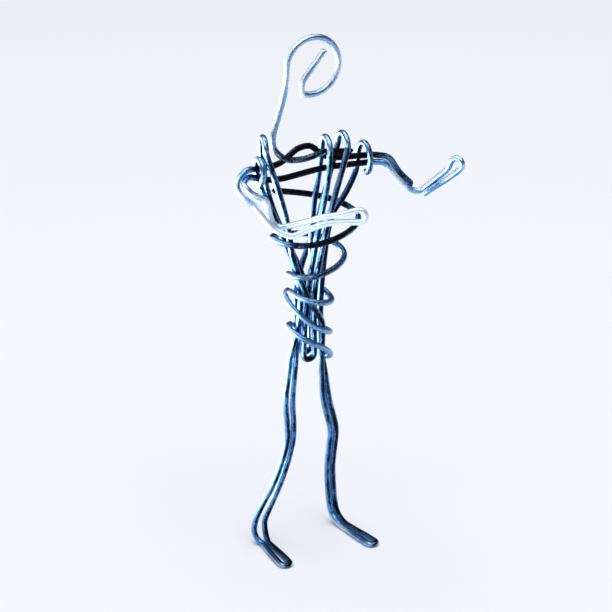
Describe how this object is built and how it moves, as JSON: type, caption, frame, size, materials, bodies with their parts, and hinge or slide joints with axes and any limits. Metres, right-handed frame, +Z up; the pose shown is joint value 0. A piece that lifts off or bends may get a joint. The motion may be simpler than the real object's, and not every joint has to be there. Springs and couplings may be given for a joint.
{
  "type": "wire figure",
  "caption": "Standing human figure bent by hand from soft steel wire, with a looped head, doubled limbs and a bound torso; it holds a new pose when bent.",
  "frame": {"origin": "on the floor, under the middle of the figure's box", "axes": "+Z up along the standing figure, -Y the way it faces, +X to its own left"},
  "size_m": [0.0482, 0.0216, 0.111],
  "materials": {
    "steel_wire": "drawn soft steel wire, cold grey with dark oxide in the scratches",
    "bright_wire": "the same wire, rubbed bright",
    "dull_wire": "the same wire, duller and with a brownish tinge"
  },
  "bodies": {
    "torso": {"torso_wire": "steel_wire", "right_side_wire": "steel_wire", "left_side_wire": "steel_wire", "shoulder_upper_wire": "steel_wire", "shoulder_lower_wire": "steel_wire", "neck_root_wire": "bright_wire", "chest_winding": "dull_wire", "hip_winding": "dull_wire"},
    "head": {"head_wire": "bright_wire"},
    "right_upper_arm": {"right_upper_arm_outer_wire": "steel_wire", "right_upper_arm_inner_wire": "steel_wire"},
    "right_forearm": {"right_forearm_wire": "steel_wire"},
    "left_upper_arm": {"left_upper_arm_outer_wire": "steel_wire", "left_upper_arm_inner_wire": "steel_wire"},
    "left_forearm": {"left_forearm_wire": "steel_wire"},
    "right_thigh": {"right_thigh_outer_wire": "steel_wire", "right_thigh_inner_wire": "steel_wire"},
    "right_shin": {"right_shin_outer_wire": "steel_wire", "right_shin_inner_wire": "steel_wire"},
    "right_foot": {"right_foot_wire": "steel_wire"},
    "left_thigh": {"left_thigh_outer_wire": "steel_wire", "left_thigh_inner_wire": "steel_wire"},
    "left_shin": {"left_shin_outer_wire": "steel_wire", "left_shin_inner_wire": "steel_wire"},
    "left_foot": {"left_foot_wire": "steel_wire"}
  },
  "joints": [
    {"name": "neck", "type": "hinge", "parent": "torso", "child": "head", "pos_m": [-0.0141, 0.00389, 0.0912], "axis": [1, 0, 0], "range_deg": [-35, 35]},
    {"name": "right_shoulder", "type": "hinge", "parent": "torso", "child": "right_upper_arm", "pos_m": [-0.0207, 0.00289, 0.0851], "axis": [-0.47, -0.108, 0.876], "range_deg": [-45, 10]},
    {"name": "right_elbow", "type": "hinge", "parent": "right_upper_arm", "child": "right_forearm", "pos_m": [-0.0165, -0.00141, 0.0746], "axis": [-0.5159, -0.8558, -0.037], "range_deg": [-35, 45]},
    {"name": "left_shoulder", "type": "hinge", "parent": "torso", "child": "left_upper_arm", "pos_m": [0.0093, 0.00309, 0.0834], "axis": [-0.269, -0.022, -0.9629], "range_deg": [-35, 35]},
    {"name": "left_elbow", "type": "hinge", "parent": "left_upper_arm", "child": "left_forearm", "pos_m": [0.0176, 0.00089, 0.0759], "axis": [-0.5201, -0.7731, -0.3631], "range_deg": [-40, 40]},
    {"name": "right_hip", "type": "hinge", "parent": "torso", "child": "right_thigh", "pos_m": [-0.0096, 0.00389, 0.043], "axis": [-0.9991, -0.004, 0.043], "range_deg": [-35, 45]},
    {"name": "right_knee", "type": "hinge", "parent": "right_thigh", "child": "right_shin", "pos_m": [-0.0092, 0.00589, 0.024], "axis": [-0.9984, -0.008, 0.056], "range_deg": [-60, 20]},
    {"name": "right_ankle", "type": "hinge", "parent": "right_shin", "child": "right_foot", "pos_m": [-0.0145, 0.00939, 0.0019], "axis": [-0.9642, 0.215, -0.155], "range_deg": [-25, 25]},
    {"name": "left_hip", "type": "hinge", "parent": "torso", "child": "left_thigh", "pos_m": [-0.0025, 0.00409, 0.04], "axis": [-0.7817, -0.5938, -0.1909], "range_deg": [-35, 45]},
    {"name": "left_knee", "type": "hinge", "parent": "left_thigh", "child": "left_shin", "pos_m": [0.0012, 0.00589, 0.024], "axis": [-0.9879, 0.025, -0.153], "range_deg": [-60, 20]},
    {"name": "left_ankle", "type": "hinge", "parent": "left_shin", "child": "left_foot", "pos_m": [0.004, 0.00979, 0.0019], "axis": [-0.9902, -0.086, -0.11], "range_deg": [-25, 25]}
  ]
}
